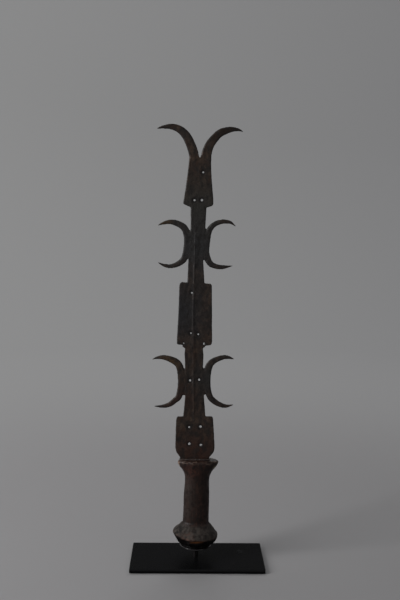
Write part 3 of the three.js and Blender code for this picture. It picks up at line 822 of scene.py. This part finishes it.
matt_enamel, tree, place = start_material("matt_black_enamel")
speckle = patches(tree, place, SPECKLE_SIZE, 0.4, 0.6)
scratches = patches(tree, place, 1.5 * MM, 0.45, 0.6, stretch=(0.4, 1, 1))
sockets = {0: near(tree, place, SCUFF_SPOT, SCUFF_RADIUS), 1: scratches}
scuffs = add(tree, "ShaderNodeMath", sockets, operation="MULTIPLY").outputs[0]
turn = add(tree, "ShaderNodeNewGeometry").outputs["True Normal"]
upright = add(tree, "ShaderNodeSeparateXYZ", {"Vector": turn}).outputs["Z"]
ends = {"Value": upright, "From Min": TOP_ABOVE, "From Max": SIDE_BELOW}
sides = add(tree, "ShaderNodeMapRange", ends).outputs[0]
level = add(tree, "ShaderNodeSeparateXYZ", {"Vector": place}).outputs["Z"]
ends = {"Value": level, "From Min": SIDE_HIGHLIGHT_FROM, "From Max": SIDE_HIGHLIGHT_TO}
high_up = add(tree, "ShaderNodeMapRange", ends).outputs[0]
# Painted highlight: the upper part of the plate's sides is made a tone paler.
painted_side_highlight = add(tree, "ShaderNodeMath", {0: sides, 1: high_up}, operation="MULTIPLY").outputs[0]
skin = lay_over(tree, colour("#0c0c0d"), painted_side_highlight, 1.0, "#1e1e1f")
skin = lay_over(tree, skin, scuffs, 1.0, "#3a3a3b")
sheen = add(tree, "ShaderNodeMapRange", {"Value": speckle, "To Min": 0.24, "To Max": 0.32}).outputs[0]
bump = add(tree, "ShaderNodeBump", {"Height": speckle, "Strength": 0.12, "Distance": 0.05 * MM}).outputs[0]
sockets = {"Base Color": skin, "Roughness": sheen, "Specular IOR Level": PLATE_SPECULAR, "Normal": bump}
finish_material(tree, sockets)
print("matt black enamel", len(tree.nodes), "nodes")

# %% [markdown]
# ## The disc's gloss enamel
#
# The disc and the stem are turned steel under a glossy black enamel with a clear coat. The photograph
# shows them as a thin bright line along the disc's edge, so a plain black with a low roughness, a high
# specular level and a coat serves.

# %% Gloss black enamel
GLOSS_SPECULAR = 0.9
GLOSS_COAT = 0.7

gloss_enamel, tree, place = start_material("gloss_black_enamel")
speckle = patches(tree, place, SPECKLE_SIZE, 0.4, 0.6)
sheen = add(tree, "ShaderNodeMapRange", {"Value": speckle, "To Min": 0.1, "To Max": 0.18}).outputs[0]
sockets = {"Base Color": colour("#1b1819"), "Roughness": sheen}
sockets.update({"Specular IOR Level": GLOSS_SPECULAR, "Coat Weight": GLOSS_COAT})
finish_material(tree, sockets)
print("gloss black enamel", len(tree.nodes), "nodes")

# %% [markdown]
# ## The small pieces
#
# The resin is hardened tree resin, lumpy, dark and a little shiny. The felt is matted wool without any
# shine. Its fibres are some hundredths of a millimetre thick and are drawn as tufts 0.7 mm wide. The
# hidden screw is zinc plated: a pale metal with a soft shine. All three are made of noise alone, as
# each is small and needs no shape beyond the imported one.

# %% Resin, felt and zinc
RESIN_INDEX = 1.54

resin_skin, tree, place = start_material("hardened_resin")
lumps = patches(tree, place, 3 * MM)
skin = lay_over(tree, colour("#3a2d27"), lumps, 1.0, "#1c1412")
bump = add(tree, "ShaderNodeBump", {"Height": lumps, "Strength": 0.6, "Distance": 0.5 * MM}).outputs[0]
finish_material(tree, {"Base Color": skin, "Roughness": 0.5, "IOR": RESIN_INDEX, "Normal": bump})

wool_felt, tree, place = start_material("wool_felt")
tufts = patches(tree, place, 0.7 * MM, detail=8.0)
skin = lay_over(tree, colour("#0d0d0e"), tufts, 1.0, "#1b1b1c")
bump = add(tree, "ShaderNodeBump", {"Height": tufts, "Strength": 0.8, "Distance": 0.2 * MM}).outputs[0]
finish_material(tree, {"Base Color": skin, "Roughness": 1.0, "Normal": bump})

zinc_plate, tree, place = start_material("zinc_plate")
bloom = patches(tree, place, 2 * MM)
dull = add(tree, "ShaderNodeMapRange", {"Value": bloom, "To Min": 0.28, "To Max": 0.4}).outputs[0]
finish_material(tree, {"Base Color": colour("#b9bbbd"), "Metallic": 1.0, "Roughness": dull})
print("resin, felt and zinc")

# %% [markdown]
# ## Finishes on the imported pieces
#
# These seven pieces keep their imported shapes. Each gets its finish, and the machined ones a small
# bevel as well, because no sprayed edge is sharp and a rounded edge catches the light. A modifier
# makes the bevel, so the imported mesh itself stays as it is.

# %% Finishes and rounded edges
FINISHES = {
    "base_plate": matt_enamel,
    "seat_disc": gloss_enamel,
    "stem": gloss_enamel,
    "tang_resin": resin_skin,
    "seat_pad": wool_felt,
    "base_felt": wool_felt,
    "base_screw": zinc_plate,
}
EDGE_ROUND = 0.3 * MM
EDGE_STEPS = 3
SHARP_EDGE = math.radians(30)

for name, finish in FINISHES.items():
    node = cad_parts[name]
    node.data.materials.clear()
    node.data.materials.append(finish)
for name in ("base_plate", "seat_disc", "stem"):
    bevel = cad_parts[name].modifiers.new("edges", "BEVEL")
    bevel.width = EDGE_ROUND
    bevel.segments = EDGE_STEPS
    bevel.limit_method = "ANGLE"
    bevel.angle_limit = SHARP_EDGE
    bevel.harden_normals = True
print("finishes", sorted(FINISHES))
